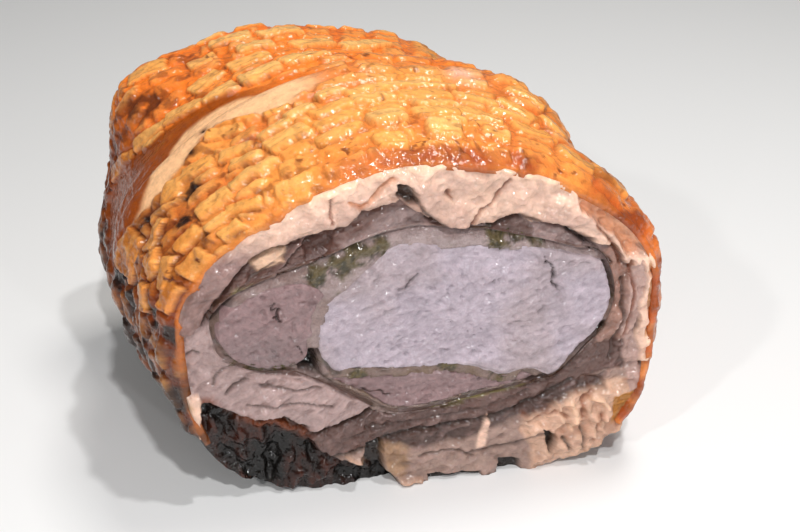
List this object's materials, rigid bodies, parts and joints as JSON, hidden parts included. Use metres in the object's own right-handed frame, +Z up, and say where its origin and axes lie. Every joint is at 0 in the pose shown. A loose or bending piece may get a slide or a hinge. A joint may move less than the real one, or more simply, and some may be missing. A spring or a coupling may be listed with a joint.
{
  "type": "rolled roast pork belly",
  "caption": "Roast pork belly rolled round a loin with herb filling, scored crackling outside, a string groove round it, cut across at a slant on one end.",
  "frame": {"origin": "under the middle of the roast's box, on the surface that it rests on", "axes": "+X across the cut face, from the belly's charred outer end to its pale right edge; +Y from the cut face along the roll to its rear end; +Z up"},
  "size_m": [0.2048, 0.1962, 0.1548],
  "materials": {
    "crackling": "glazed orange brown crackling, fat and lean where cut",
    "loin_meat": "moist pale lilac grey cooked lean",
    "flank_meat": "moist grey pink cooked lean",
    "strip_meat": "moist darker pink cooked lean",
    "herb_filling": "wet dark green brown herb paste and jelly"
  },
  "bodies": {
    "root": {"belly_wrap": "crackling", "loin": "loin_meat", "loin_flank": "flank_meat", "under_strip": "strip_meat", "herb_filling": "herb_filling"}
  },
  "joints": []
}
